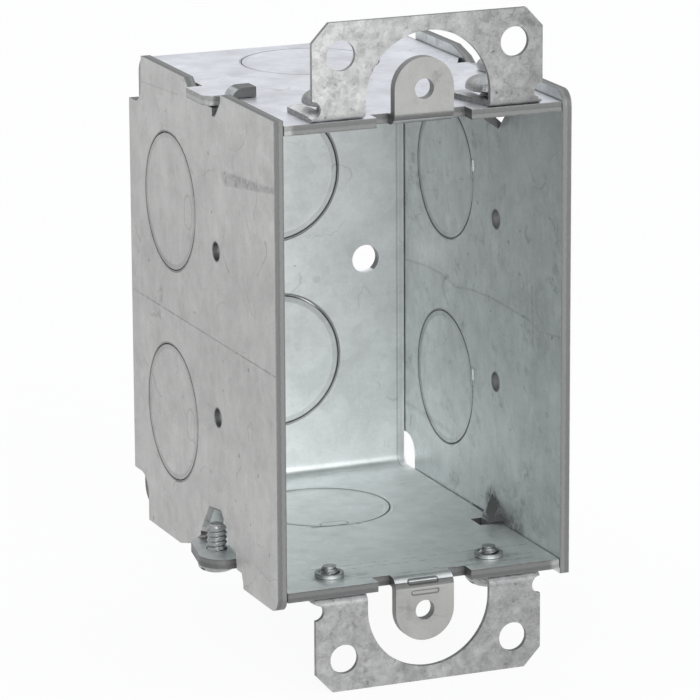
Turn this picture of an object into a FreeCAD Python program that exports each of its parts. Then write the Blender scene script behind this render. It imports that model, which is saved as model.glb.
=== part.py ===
import FreeCAD, Part
import math
import os

import Sketcher
from FreeCAD import Placement, Rotation, Vector

# Steel electrical box with two removable side plates.
# X is across the box, Y runs from the open front to the back, Z is up.
# The origin is midway between the two device-screw holes, in the plane of the front edges.

DOC = FreeCAD.newDocument("steel_electrical_box")
SHEET = DOC.addObject("Spreadsheet::Sheet", "Sizes")


class Size:
    """A length that knows its number and the expression that gives it."""

    def __init__(self, value, text):
        self.value = float(value)
        self.text = text

    def join(self, other, sign, value, swap=False):
        text = other.text if isinstance(other, Size) else repr(float(other))
        left, right = (text, self.text) if swap else (self.text, text)
        return Size(value, "(" + left + " " + sign + " " + right + ")")

    def __add__(self, other):
        return self.join(other, "+", self.value + number(other))

    def __radd__(self, other):
        return self.join(other, "+", number(other) + self.value, swap=True)

    def __sub__(self, other):
        return self.join(other, "-", self.value - number(other))

    def __rsub__(self, other):
        return self.join(other, "-", number(other) - self.value, swap=True)

    def __mul__(self, other):
        return self.join(other, "*", self.value * number(other))

    def __rmul__(self, other):
        return self.join(other, "*", number(other) * self.value, swap=True)

    def __truediv__(self, other):
        return self.join(other, "/", self.value / number(other))

    def __neg__(self):
        return 0.0 - self


def number(size):
    return size.value if isinstance(size, Size) else float(size)


def words(size):
    return size.text if isinstance(size, Size) else repr(float(size))


def driving(alias, value):
    """Puts one driving dimension into the sheet and returns it."""
    driving.row += 1
    SHEET.set("A%d" % driving.row, alias.replace("_", " "))
    SHEET.set("B%d" % driving.row, repr(float(value)))
    SHEET.setAlias("B%d" % driving.row, alias)
    return Size(value, "Sizes." + alias)


driving.row = 0

# the folded body
sheet_thick = 1.59
box_width = 49.8
box_height = 75.52
box_depth = 63.5
bend_inside = 1.5
side_gap = 0.15

# device lugs bent up from the front edges
lug_hole_rise = 3.91
device_hole_radius = 1.6
lug_half_width = 4.95
lug_bend_inside = 0.5
lug_relief_width = 3.0
lug_relief_depth = 2.7

# knockouts: a slug sheared all round but for one tie
knockout_radius = 11.15
knockout_gap = 0.15
knockout_tie = 5.7
back_knockout_height = 15.9
top_knockout_depth = 46.2
bottom_knockout_depth = 42.3
side_knockout_depth = 45.0
side_knockout_height = 17.5

# holes for wall screws and nails
back_hole_radius = 2.4
back_hole_across = 16.2
nail_hole_radius = 1.5
nail_hole_depth = 24.8
nail_hole_height = 13.5

# side plates
hook_end_over = 0.84
hook_corner_depth = 5.8
hook_corner_height = 7.9
clamp_corner_depth = 6.4
clamp_corner_height = 7.55
corner_radius = 3.2
front_corner_radius = 2.5

# hook of a side plate, and the body's tongue beside it
hook_front = 22.6
hook_width = 3.2
hook_inset = 2.0
hook_root_drop = 4.0
hook_rise_drop = 2.0
hook_swell_drop = 7.2
hook_swell_foot = 2.2
hook_bend_inside = 0.6
hook_crease_width = 2.1
hook_crease_drop = 1.15
hook_lift = 0.05
hook_lap = 0.8
hook_slot_reach = 3.66
hook_side_gap = 0.35
hook_tongue_width = 8.2
hook_tongue_reach = 1.05
hook_tongue_corner = 1.8
tongue_gap = 0.25
hook_notch_slope = 3.6

# clamp tongue and clamp screw
clamp_axis_in = 0.5
clamp_axis_depth = 27.4
clamp_nose_radius = 4.0
clamp_nose_forward = 2.75
clamp_tongue_rear = 4.8
clamp_tongue_side = 2.06
clamp_tongue_foot = 6.8
clamp_relief = 2.0
clamp_shank_radius = 1.65
clamp_shank_length = 5.8
clamp_head_radius = 3.0
clamp_head_height = 2.05
thread_gap = 0.05
seat_gap = 0.05

# pocket of a side plate, pressed in behind the clamp screw and sheared along its front
pocket_gap = 0.3
pocket_lift = 1.5
pocket_top = 10.5
pocket_shoulder = 5.4
pocket_slope = 2.3
pocket_front_reach = 3.4
pocket_rear_reach = 5.2

# notch of a side plate below and in front of the pocket
shear_reach = 2.6
shear_drop = 2.65
shelf_reach = 6.2
shelf_drop = 5.35
step_reach = 8.7
step_height = 2.45
notch_rear_reach = 10.6
notch_rear_height = 1.15
notch_rear_rise = 3.95
notch_rear_length = 4.4

# plaster ears and their screws
ear_thick = 0.8
ear_width = 38.4
ear_rise = 15.34
ear_proud = 0.4
ear_lift = 0.04
ear_shift = 0.5
ear_corner_across = 2.8
ear_corner_up = 3.0
ear_hole_radius = 2.35
ear_hole_across = 14.45
ear_hole_rise = 10.14
ear_arch_radius = 10.4
ear_arch_rise = 2.64
ear_leg_end = 10.8
ear_leg_taper = 2.3
ear_leg_corner = 1.0
ear_bend_inside = 0.5
ear_relief_radius = 1.4
ear_relief_rise = 2.04
ear_travel = 1.2
ear_slot_play = 0.75
ear_screw_across = 13.7
ear_screw_depth = 6.2
ear_screw_radius = 1.65
ear_screw_point = 1.7
ear_screw_back_off = 0.8
ear_head_radius = 3.8
ear_head_height = 2.3
collar_wall = 0.6
collar_height = 0.7
slot_share = 0.28

# each length above goes into the sheet under its own name, and is used from there
for alias, length in list(globals().items()):
    if isinstance(length, float):
        globals()[alias] = driving(alias, length)

DOC.recompute()

# how far a cut starts outside the metal, so that it never ends on a face
CLEAR = 1.0
# half a turn, in degrees
HALF_TURN = 180.0

# places worked out from the driving dimensions
plate_face = box_width / 2
panel_half = plate_face - sheet_thick - side_gap
half_height = box_height / 2
inner_height = half_height - sheet_thick
inner_depth = box_depth - sheet_thick
device_height = half_height + lug_hole_rise
clamp_end = half_height + sheet_thick
hook_end = half_height + hook_end_over
plate_middle = (hook_end - clamp_end) / 2
hook_tongue_front = hook_front + hook_width + hook_side_gap
clamp_axis = plate_face - clamp_axis_in
clamp_nose_depth = clamp_axis_depth - clamp_nose_forward
ear_bottom = half_height + ear_lift
ear_top = half_height + ear_rise
ear_hole_height = half_height + ear_hole_rise
ear_arch_height = half_height + ear_arch_rise
ear_relief_height = half_height + ear_relief_rise
pocket_front = clamp_axis_depth - pocket_front_reach
pocket_rear = clamp_axis_depth + pocket_rear_reach
pocket_inset = clamp_axis_in + clamp_shank_radius + pocket_gap
pocket_bottom = inner_height - pocket_lift
hook_slot_end = panel_half - hook_slot_reach


def origin_plane(body, role):
    for feature in body.Origin.OriginFeatures:
        if feature.Role == role:
            return feature
    raise RuntimeError("no plane " + role)


def sketch_on(body, name, role, offset):
    """An empty sketch parallel to one of the body's own planes."""
    sketch = body.newObject("Sketcher::SketchObject", name)
    sketch.AttachmentSupport = [(origin_plane(body, role), "")]
    sketch.MapMode = "FlatFace"
    sketch.setExpression("AttachmentOffset.Base.z", words(offset))
    return sketch


def pin(sketch, geometry, point, across, up):
    """Ties one point of the sketch to its two coordinates."""
    for kind, size in (("DistanceX", across), ("DistanceY", up)):
        constraint = Sketcher.Constraint(kind, -1, 1, geometry, point, number(size))
        index = sketch.addConstraint(constraint)
        if isinstance(size, Size):
            sketch.setExpression("Constraints[%d]" % index, size.text)


def polygon(sketch, corners):
    """A closed outline of straight lines."""
    count = len(corners)
    places = [Vector(number(across), number(up), 0) for across, up in corners]
    first = sketch.GeometryCount
    for index in range(count):
        sketch.addGeometry(Part.LineSegment(places[index], places[(index + 1) % count]), False)
    for index in range(count):
        following = first + (index + 1) % count
        sketch.addConstraint(Sketcher.Constraint("Coincident", first + index, 2, following, 1))
    for index, corner in enumerate(corners):
        pin(sketch, first + index, 1, corner[0], corner[1])


def rectangle(sketch, left, right, low, high):
    polygon(sketch, [(left, low), (right, low), (right, high), (left, high)])


def disc(sketch, across, up, radius):
    circle = Part.Circle(Vector(number(across), number(up), 0), Vector(0, 0, 1), number(radius))
    index = sketch.addGeometry(circle, False)
    pin(sketch, index, 3, across, up)
    constraint = sketch.addConstraint(Sketcher.Constraint("Radius", index, number(radius)))
    if isinstance(radius, Size):
        sketch.setExpression("Constraints[%d]" % constraint, radius.text)


def extrude(body, kind, name, sketch, length, backwards):
    """A pad or a pocket of a fixed length, checked for having changed the solid."""
    DOC.recompute()
    before = body.Shape.Volume if body.Tip else 0.0
    feature = body.newObject("PartDesign::" + kind, name)
    feature.Profile = sketch
    feature.Type = "Length"
    feature.setExpression("Length", words(length))
    feature.Reversed = backwards
    DOC.recompute()
    change = body.Shape.Volume - before
    if change * (1 if kind == "Pad" else -1) < 1e-4:
        raise RuntimeError(name + " changed nothing")
    return feature


def add(body, name, sketch, length, backwards=False):
    return extrude(body, "Pad", name, sketch, length, backwards)


def cut(body, name, sketch, length, backwards=False):
    return extrude(body, "Pocket", name, sketch, length, backwards)


def line_edges(shape, axis, places, reach):
    """Names of the straight edges along one axis that run through the given places."""
    found = []
    for index, edge in enumerate(shape.Edges):
        if len(edge.Vertexes) != 2 or not isinstance(edge.Curve, Part.Line):
            continue
        ends = [vertex.Point for vertex in edge.Vertexes]
        span = ends[1] - ends[0]
        if abs(abs(span[axis]) - span.Length) > 1e-6:
            continue
        middle = (ends[0] + ends[1]) * 0.5
        for place in places:
            offset = [abs(middle[k] - number(place[k])) for k in range(3) if k != axis]
            if max(offset) < 1e-4 and abs(middle[axis] - number(place[axis])) < number(reach):
                found.append("Edge%d" % (index + 1))
                break
    return found


def round_edges(body, name, axis, places, radius, reach=1e6):
    """A fillet on the straight edges that run through the given places."""
    DOC.recompute()
    base = body.Tip
    edges = line_edges(base.Shape, axis, places, reach)
    if not edges:
        raise RuntimeError(name + " found no edge")
    fillet = body.newObject("PartDesign::Fillet", name)
    fillet.Base = (base, edges)
    fillet.setExpression("Radius", words(radius))
    DOC.recompute()
    return fillet


def new_body(name):
    return DOC.addObject("PartDesign::Body", name)


def bind_place(piece, across, depth, height, turn):
    """Places a piece by expressions, with a fixed turn."""
    base = Vector(number(across), number(depth), number(height))
    piece.Placement = Placement(base, turn)
    piece.setExpression("Placement.Base.x", words(across))
    piece.setExpression("Placement.Base.y", words(depth))
    piece.setExpression("Placement.Base.z", words(height))


def knockout_ring(name, across, depth, height, normal, tie_angle):
    """The sheared gap round a slug; tie_angle is where the slug stays joined."""
    half_gap = knockout_gap / 2
    half_tie = "asin(" + (knockout_tie / 2 / knockout_radius).text + ")"
    turn = Rotation(Vector(0, 0, 1), normal)
    tools = []
    for part, radius in (("outer", knockout_radius + half_gap), ("slug", knockout_radius - half_gap)):
        cylinder = DOC.addObject("Part::Cylinder", name + "_" + part)
        cylinder.setExpression("Radius", radius.text)
        cylinder.setExpression("Height", (sheet_thick + 2 * CLEAR).text)
        tools.append(cylinder)
    tools[0].setExpression("Angle", "360 deg - 2 * " + half_tie)
    half_tie_degrees = math.degrees(math.asin(number(knockout_tie) / 2 / number(knockout_radius)))
    start = Rotation(Vector(0, 0, 1), tie_angle + half_tie_degrees)
    tools[0].Placement = Placement(Vector(), start)
    ring = DOC.addObject("Part::Cut", name)
    ring.Base = tools[0]
    ring.Tool = tools[1]
    bind_place(ring, across, depth, height, turn)
    return ring


def with_knockouts(label, body, rings, turn):
    """The finished sheet: the body less the gaps round its slugs."""
    gaps = DOC.addObject("Part::MultiFuse", label + "_gaps")
    gaps.Shapes = rings
    piece = DOC.addObject("Part::Cut", label)
    piece.Label = label
    piece.Base = body
    piece.Tool = gaps
    piece.Placement = Placement(Vector(), turn)
    return piece


# The body: one strip folded into top, back and bottom.

def both(side, size):
    """A size on one side of the middle."""
    return size if side > 0 else -size


def fold_channel(body):
    profile = sketch_on(body, "channel_outside", "YZ_Plane", -panel_half)
    rectangle(profile, 0.0, box_depth, -half_height, half_height)
    add(body, "channel", profile, 2 * panel_half)
    hollow = sketch_on(body, "channel_inside", "YZ_Plane", panel_half)
    rectangle(hollow, -CLEAR, inner_depth, -inner_height, inner_height)
    cut(body, "hollow", hollow, 2 * panel_half)
    inside = [(0.0, inner_depth, inner_height), (0.0, inner_depth, -inner_height)]
    round_edges(body, "bends_inside", 0, inside, bend_inside)
    outside = [(0.0, box_depth, half_height), (0.0, box_depth, -half_height)]
    round_edges(body, "bends_outside", 0, outside, bend_inside + sheet_thick)


def bend_lugs(body):
    """Device lugs: straight shanks, round ends, a bend at the root and reliefs beside it."""
    shanks = sketch_on(body, "lug_shanks", "XZ_Plane", 0.0)
    ends = sketch_on(body, "lug_ends", "XZ_Plane", 0.0)
    holes = sketch_on(body, "device_holes", "XZ_Plane", CLEAR)
    for side in (1, -1):
        low, high = sorted((both(side, inner_height), both(side, device_height)), key=number)
        rectangle(shanks, -lug_half_width, lug_half_width, low, high)
        disc(ends, 0.0, both(side, device_height), lug_half_width)
        disc(holes, 0.0, both(side, device_height), device_hole_radius)
    add(body, "lugs", shanks, sheet_thick, backwards=True)
    add(body, "round_ends", ends, sheet_thick, backwards=True)
    cut(body, "device_screw_holes", holes, sheet_thick + 2 * CLEAR)
    reliefs = sketch_on(body, "lug_reliefs", "XY_Plane", -half_height - CLEAR)
    for side in (1, -1):
        near, far = both(side, lug_half_width), both(side, lug_half_width + lug_relief_width)
        left, right = sorted((near, far), key=number)
        rectangle(reliefs, left, right, -CLEAR, lug_relief_depth)
    cut(body, "reliefs", reliefs, box_height + 2 * CLEAR, backwards=True)
    roots = [(0.0, 0.0, inner_height), (0.0, 0.0, -inner_height)]
    round_edges(body, "lug_bends_outside", 0, roots, lug_bend_inside + sheet_thick * 0.9, 1.0)
    nooks = [(0.0, sheet_thick, half_height), (0.0, sheet_thick, -half_height)]
    round_edges(body, "lug_bends_inside", 0, nooks, lug_bend_inside, 1.0)


def cut_tongues(body):
    """Tongues that reach out through the side plates, and the edge slots for their hooks."""
    root = panel_half - CLEAR
    for side in (1, -1):
        name = "top" if side > 0 else "bottom"
        level = inner_height if side > 0 else -half_height
        hook = sketch_on(body, name + "_hook_tongue", "XY_Plane", level)
        ends = (both(-side, root), both(-side, plate_face + hook_tongue_reach))
        left, right = sorted(ends, key=number)
        rectangle(hook, left, right, hook_tongue_front, hook_tongue_front + hook_tongue_width)
        add(body, name + "_hook_tongue_pad", hook, sheet_thick)
        corner = (both(-side, plate_face + hook_tongue_reach), hook_tongue_front, 0.0)
        round_edges(body, name + "_hook_tongue_round", 2, [corner], hook_tongue_corner)
        axis = both(side, clamp_axis)
        rear = clamp_axis_depth + clamp_tongue_foot
        web = sketch_on(body, name + "_clamp_web", "XY_Plane", level)
        polygon(web, [
            (both(side, root), clamp_nose_depth - clamp_nose_radius),
            (axis, clamp_nose_depth - clamp_nose_radius),
            (both(side, clamp_axis + clamp_nose_radius), clamp_nose_depth),
            (both(side, plate_face + clamp_tongue_side), clamp_axis_depth + clamp_tongue_rear),
            (both(side, plate_face + 0.5 * clamp_tongue_side), rear - 0.2 * clamp_tongue_side),
            (both(side, root), rear),
        ])
        add(body, name + "_clamp_web_pad", web, sheet_thick)
        nose = sketch_on(body, name + "_clamp_nose", "XY_Plane", level)
        disc(nose, axis, clamp_nose_depth, clamp_nose_radius)
        add(body, name + "_clamp_nose_pad", nose, sheet_thick)
        slot = sketch_on(body, name + "_hook_slot", "XY_Plane", level - CLEAR)
        ends = (both(-side, hook_slot_end), both(-side, panel_half + CLEAR))
        left, right = sorted(ends, key=number)
        rectangle(slot, left, right, hook_front - hook_side_gap, hook_tongue_front)
        cut(body, name + "_hook_slot_cut", slot, sheet_thick + 2 * CLEAR, backwards=True)
        relief = sketch_on(body, name + "_clamp_relief", "XY_Plane", level - CLEAR)
        near = rear + 0.5 * clamp_relief
        polygon(relief, [
            (both(side, panel_half + CLEAR), near),
            (both(side, panel_half - clamp_relief), near),
            (both(side, panel_half), near + 2 * clamp_relief),
            (both(side, panel_half + CLEAR), near + 2 * clamp_relief),
        ])
        cut(body, name + "_clamp_relief_cut", relief, sheet_thick + 2 * CLEAR, backwards=True)
        hole = sketch_on(body, name + "_clamp_hole", "XY_Plane", level - CLEAR)
        disc(hole, axis, clamp_axis_depth, clamp_shank_radius + thread_gap)
        cut(body, name + "_clamp_hole_cut", hole, sheet_thick + 2 * CLEAR, backwards=True)


def raise_collars(body):
    """Threaded collars drawn inward for the ear screws."""
    for side in (1, -1):
        name = "top" if side > 0 else "bottom"
        level = inner_height - collar_height if side > 0 else -inner_height
        collars = sketch_on(body, name + "_collars", "XY_Plane", level)
        for across in (1, -1):
            radius = ear_screw_radius + thread_gap + collar_wall
            disc(collars, both(across, ear_screw_across), ear_screw_depth, radius)
        add(body, name + "_collar_pads", collars, collar_height)
    holes = sketch_on(body, "ear_screw_holes", "XY_Plane", -half_height - CLEAR)
    for across in (1, -1):
        disc(holes, both(across, ear_screw_across), ear_screw_depth, ear_screw_radius + thread_gap)
    cut(body, "ear_screw_holes_cut", holes, box_height + 2 * CLEAR, backwards=True)


def drill_back(body):
    holes = sketch_on(body, "back_holes", "XZ_Plane", -inner_depth + CLEAR)
    for across in (1, -1):
        disc(holes, both(across, back_hole_across), 0.0, back_hole_radius)
    cut(body, "back_screw_holes", holes, sheet_thick + 2 * CLEAR)


def make_box_body():
    body = new_body("folded_body")
    fold_channel(body)
    bend_lugs(body)
    cut_tongues(body)
    raise_collars(body)
    drill_back(body)
    start = inner_depth - CLEAR
    back = Vector(0, 1, 0)
    up = Vector(0, 0, 1)
    rings = [
        knockout_ring("back_upper_gap", 0.0, start, back_knockout_height, back, 225.0),
        knockout_ring("back_lower_gap", 0.0, start, -back_knockout_height, back, 225.0),
        knockout_ring("top_gap", 0.0, top_knockout_depth, inner_height - CLEAR, up, 270.0),
        knockout_ring("bottom_gap", 0.0, bottom_knockout_depth, -half_height - CLEAR, up, 270.0),
    ]
    return with_knockouts("box_body", body, rings, Rotation())


# A side plate, drawn as the left one: hook at the top, clamp at the bottom.

def loft_between(body, kind, name, near, near_points, far, far_points):
    """A straight-sided loft between two outlines on planes across the box."""
    first = sketch_on(body, body.Name + "_" + name + "_near", "YZ_Plane", near)
    polygon(first, near_points)
    second = sketch_on(body, body.Name + "_" + name + "_far", "YZ_Plane", far)
    polygon(second, far_points)
    DOC.recompute()
    feature = body.newObject("PartDesign::" + kind, body.Name + "_" + name)
    feature.Profile = first
    feature.Sections = [second]
    feature.Ruled = True
    DOC.recompute()


def plate_outline(body):
    face = sketch_on(body, body.Name + "_outline", "YZ_Plane", -plate_face)
    polygon(face, [
        (0.0, -clamp_end),
        (0.0, hook_end),
        (box_depth - hook_corner_depth, hook_end),
        (box_depth - hook_corner_depth, hook_end - hook_corner_height),
        (box_depth, hook_end - hook_corner_height),
        (box_depth, clamp_corner_height - clamp_end),
        (box_depth - clamp_corner_depth, clamp_corner_height - clamp_end),
        (box_depth - clamp_corner_depth, -clamp_end),
    ])
    add(body, body.Name + "_plate", face, sheet_thick)
    corners = [
        (0.0, box_depth - hook_corner_depth, hook_end - hook_corner_height),
        (0.0, box_depth - clamp_corner_depth, clamp_corner_height - clamp_end),
    ]
    round_edges(body, body.Name + "_rear_corners", 0, corners, corner_radius)
    front = [(0.0, 0.0, -clamp_end)]
    round_edges(body, body.Name + "_front_corner", 0, front, front_corner_radius)


def plate_hook(body):
    """A tab set inward and bent over the panel, and the opening for the body's tongue."""
    opening = sketch_on(body, body.Name + "_hook_opening", "YZ_Plane", -plate_face - CLEAR)
    tongue_rear = hook_tongue_front + hook_tongue_width + tongue_gap
    step = hook_tongue_front - tongue_gap
    polygon(opening, [
        (hook_front - hook_side_gap, hook_end + CLEAR),
        (hook_front - hook_side_gap, hook_end - hook_crease_drop),
        (hook_front + hook_crease_width, hook_end - hook_root_drop),
        (step, hook_end - hook_root_drop),
        (step, inner_height - tongue_gap),
        (tongue_rear, inner_height - tongue_gap),
        (tongue_rear + hook_notch_slope, hook_end),
        (tongue_rear + hook_notch_slope, hook_end + CLEAR),
    ])
    cut(body, body.Name + "_hook_cut", opening, sheet_thick + 2 * CLEAR, backwards=True)
    outer = -plate_face
    inner = -plate_face + sheet_thick
    rise = hook_end - hook_rise_drop
    root = hook_end - hook_root_drop
    under = half_height + hook_lift
    tip = -hook_slot_end + hook_lap
    section = sketch_on(body, body.Name + "_hook_section", "XZ_Plane", -hook_front)
    polygon(section, [
        (outer, root - sheet_thick),
        (outer, root),
        (outer + hook_inset, rise),
        (outer + hook_inset, under + sheet_thick),
        (tip, under + sheet_thick),
        (tip, under),
        (inner + hook_inset, under),
        (inner + hook_inset, rise - 0.4 * sheet_thick),
        (inner, root - 0.4 * sheet_thick),
        (inner, root - sheet_thick),
    ])
    add(body, body.Name + "_hook", section, hook_width, backwards=True)
    bend_outside = hook_bend_inside + sheet_thick
    crown = [(outer + hook_inset, 0.0, under + sheet_thick)]
    round_edges(body, body.Name + "_hook_bend_outside", 1, crown, bend_outside)
    throat = [(inner + hook_inset, 0.0, under)]
    round_edges(body, body.Name + "_hook_bend_inside", 1, throat, hook_bend_inside)
    peak = hook_end - hook_swell_drop
    low = inner_height - 2 * tongue_gap
    rear = hook_front + hook_width
    loft_between(body, "AdditiveLoft", "hook_swell", inner - 0.5 * sheet_thick, [
        (hook_front - hook_swell_foot, low),
        (rear + 0.5 * hook_swell_foot, peak),
        (rear + 2 * hook_swell_foot, low),
    ], inner + hook_inset, [
        (hook_front, low),
        (rear - 0.5 * hook_width, rise - 0.5 * hook_root_drop),
        (rear, low),
    ])


def plate_pocket(body):
    """The pressed pocket that passes inside the clamp screw, sheared in front and below."""
    crest = clamp_end - pocket_top
    shoulder = clamp_end - pocket_shoulder
    low = clamp_end - 0.5 * sheet_thick
    front = pocket_front
    rear = pocket_rear
    inset_rear = rear - pocket_slope
    inset_crest = crest + pocket_slope
    wall = 0.35 * sheet_thick

    def mouth(grow):
        return [
            (front, -(crest - grow)),
            (rear - pocket_front_reach + grow, -(crest + 0.7 - grow)),
            (rear + grow, -(shoulder - grow)),
            (rear + grow, -low),
            (front, -low),
        ]

    def floor(grow):
        return [
            (front, -(inset_crest - grow)),
            (inset_rear - 0.5 * pocket_front_reach + grow, -(inset_crest + 0.3 - grow)),
            (inset_rear + grow, -(shoulder - grow)),
            (inset_rear + grow, -low),
            (front, -low),
        ]

    inner = -plate_face + sheet_thick
    loft_between(body, "AdditiveLoft", "bulge", inner - 0.5 * sheet_thick, mouth(wall),
                 inner + pocket_inset, floor(wall))
    loft_between(body, "SubtractiveLoft", "press", -plate_face, mouth(0.0),
                 -plate_face + pocket_inset, floor(0.0))
    notch = sketch_on(body, body.Name + "_clamp_notch", "YZ_Plane", -plate_face - CLEAR)
    bottom = clamp_end + CLEAR
    notch_rear = clamp_axis_depth + notch_rear_reach
    notch_slope = notch_rear_length / notch_rear_height
    polygon(notch, [
        (notch_rear + notch_rear_length + CLEAR * notch_slope, -bottom),
        (notch_rear, notch_rear_height - clamp_end),
        (rear + wall, notch_rear_rise - clamp_end),
        (rear + wall, -pocket_bottom),
        (front, -pocket_bottom),
        (front, -crest),
        (front - shear_reach, -(crest + shear_drop)),
        (front - shear_reach, -(crest + shelf_drop - 0.35 * shear_drop)),
        (front - shelf_reach, -(crest + shelf_drop)),
        (front - shelf_reach - 0.1 * shelf_drop, step_height - clamp_end),
        (front - step_reach, step_height - clamp_end),
        (front - step_reach - 0.25 * step_height, 0.4 * step_height - clamp_end),
        (front - step_reach - 0.35 * step_height, -bottom),
    ])
    cut(body, body.Name + "_clamp_cut", notch, sheet_thick + pocket_inset + 3 * CLEAR, backwards=True)


def make_side_plate(label, turn):
    body = new_body(label + "_sheet")
    plate_outline(body)
    plate_hook(body)
    plate_pocket(body)
    nails = sketch_on(body, body.Name + "_nail_holes", "YZ_Plane", -plate_face - CLEAR)
    for side in (1, -1):
        disc(nails, nail_hole_depth, plate_middle + both(side, nail_hole_height), nail_hole_radius)
    cut(body, body.Name + "_nail_cut", nails, sheet_thick + 2 * CLEAR, backwards=True)
    across = Vector(1, 0, 0)
    rings = []
    for side in (1, -1):
        name = label + ("_upper_gap" if side > 0 else "_lower_gap")
        height = plate_middle + both(side, side_knockout_height)
        start = -plate_face - CLEAR
        rings.append(knockout_ring(name, start, side_knockout_depth, height, across, 270.0))
    return with_knockouts(label, body, rings, turn)


# An ear, drawn as the upper one: a C-shaped face and two slotted legs.

def make_ear(label, turn):
    body = new_body(label)
    half = ear_width / 2
    foot = ear_bottom + ear_thick
    face = sketch_on(body, label + "_face", "XZ_Plane", ear_proud)
    polygon(face, [
        (-half, ear_bottom),
        (half, ear_bottom),
        (half, ear_top - ear_corner_up),
        (half - ear_corner_across, ear_top),
        (ear_corner_across - half, ear_top),
        (-half, ear_top - ear_corner_up),
    ])
    add(body, label + "_face_pad", face, ear_thick, backwards=True)
    legs = sketch_on(body, label + "_legs", "XY_Plane", ear_bottom)
    for side in (1, -1):
        polygon(legs, [
            (both(side, ear_arch_radius), -ear_proud),
            (both(side, half), -ear_proud),
            (both(side, half), ear_leg_end - ear_leg_corner),
            (both(side, half - ear_leg_corner), ear_leg_end),
            (both(side, ear_arch_radius - ear_leg_taper), ear_leg_end),
            (both(side, ear_arch_radius), ear_thick - ear_proud + 2 * ear_bend_inside),
        ])
    add(body, label + "_leg_pads", legs, ear_thick)
    throat = sketch_on(body, label + "_throat", "XZ_Plane", ear_proud + CLEAR)
    rectangle(throat, -ear_arch_radius, ear_arch_radius, ear_bottom - CLEAR, ear_arch_height)
    cut(body, label + "_throat_cut", throat, ear_thick + CLEAR)
    arch = sketch_on(body, label + "_arch", "XZ_Plane", ear_proud + CLEAR)
    disc(arch, 0.0, ear_arch_height, ear_arch_radius)
    cut(body, label + "_arch_cut", arch, ear_thick + 2 * CLEAR)
    holes = sketch_on(body, label + "_holes", "XZ_Plane", ear_proud + CLEAR)
    for side in (1, -1):
        disc(holes, both(side, ear_hole_across), ear_hole_height, ear_hole_radius)
    cut(body, label + "_hole_cuts", holes, ear_thick + 2 * CLEAR)
    slots = sketch_on(body, label + "_slots", "XY_Plane", ear_bottom - CLEAR)
    ends = sketch_on(body, label + "_slot_ends", "XY_Plane", ear_bottom - CLEAR)
    slot_half = ear_screw_radius + ear_slot_play
    slot_front = ear_screw_depth - ear_travel
    for side in (1, -1):
        middle = both(side, ear_screw_across)
        rectangle(slots, middle - slot_half, middle + slot_half, slot_front, ear_leg_end + CLEAR)
        disc(ends, middle, slot_front, slot_half)
    cut(body, label + "_slot_cuts", slots, ear_thick + 2 * CLEAR, backwards=True)
    cut(body, label + "_slot_end_cuts", ends, ear_thick + 2 * CLEAR, backwards=True)
    bends = [(both(s, half), -ear_proud, ear_bottom) for s in (1, -1)]
    round_edges(body, label + "_bends_outside", 0, bends, ear_bend_inside + ear_thick * 0.9, half)
    nooks = [(both(s, half), ear_thick - ear_proud, foot) for s in (1, -1)]
    round_edges(body, label + "_bends_inside", 0, nooks, ear_bend_inside, half)
    reliefs = sketch_on(body, label + "_reliefs", "XZ_Plane", ear_proud + CLEAR)
    for side in (1, -1):
        disc(reliefs, both(side, half), ear_relief_height, ear_relief_radius)
    cut(body, label + "_relief_cuts", reliefs, 2 * ear_thick + CLEAR)
    bind_place(body, ear_shift, 0.0, 0.0, turn)
    return body


# Screws, drawn with the head up and the shank pointing down.

def make_screw(label, shank_radius, shank_length, head_radius, head_height):
    body = new_body(label)
    profile = sketch_on(body, label + "_profile", "XZ_Plane", 0.0)
    point = 0.25 * shank_radius
    polygon(profile, [
        (0.0, -shank_length),
        (shank_radius - point, -shank_length),
        (shank_radius, point - shank_length),
        (shank_radius, 0.0),
        (head_radius, 0.0),
        (head_radius, head_height),
        (0.0, head_height),
    ])
    DOC.recompute()
    turned = body.newObject("PartDesign::Revolution", label + "_turned")
    turned.Profile = profile
    turned.ReferenceAxis = (profile, ["V_Axis"])
    turned.Angle = 360.0
    DOC.recompute()
    crown = []
    for index, edge in enumerate(turned.Shape.Edges):
        if isinstance(edge.Curve, Part.Circle) and abs(edge.Curve.Radius - number(head_radius)) < 1e-6:
            if abs(edge.Curve.Center.z - number(head_height)) < 1e-6:
                crown.append("Edge%d" % (index + 1))
    dome = body.newObject("PartDesign::Fillet", label + "_dome")
    dome.Base = (turned, crown)
    dome.setExpression("Radius", (0.72 * head_height).text)
    DOC.recompute()
    slot = sketch_on(body, label + "_slot", "XY_Plane", head_height + CLEAR)
    slot_half = slot_share * head_radius / 2
    rectangle(slot, -head_radius - CLEAR, head_radius + CLEAR, -slot_half, slot_half)
    cut(body, label + "_slot_cut", slot, CLEAR + 0.45 * head_height)
    return body


def make_ear_screws():
    length = ear_lift + ear_thick + seat_gap + sheet_thick + ear_screw_point
    seated = ear_bottom + ear_thick + seat_gap
    pieces = []
    for level, side, flip in (("upper", 1, 0.0), ("lower", -1, HALF_TURN)):
        seat = seated + ear_screw_back_off if side > 0 else seated
        for hand, across, slot_turn in (("left", -1, 35.0), ("right", 1, 110.0)):
            label = level + "_ear_screw_" + hand
            screw = make_screw(label, ear_screw_radius, length, ear_head_radius, ear_head_height)
            turn = Rotation(Vector(0, 1, 0), flip).multiply(Rotation(Vector(0, 0, 1), slot_turn))
            place = both(across, ear_screw_across)
            bind_place(screw, place, ear_screw_depth, both(side, seat), turn)
            pieces.append(screw)
    return pieces


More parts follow.
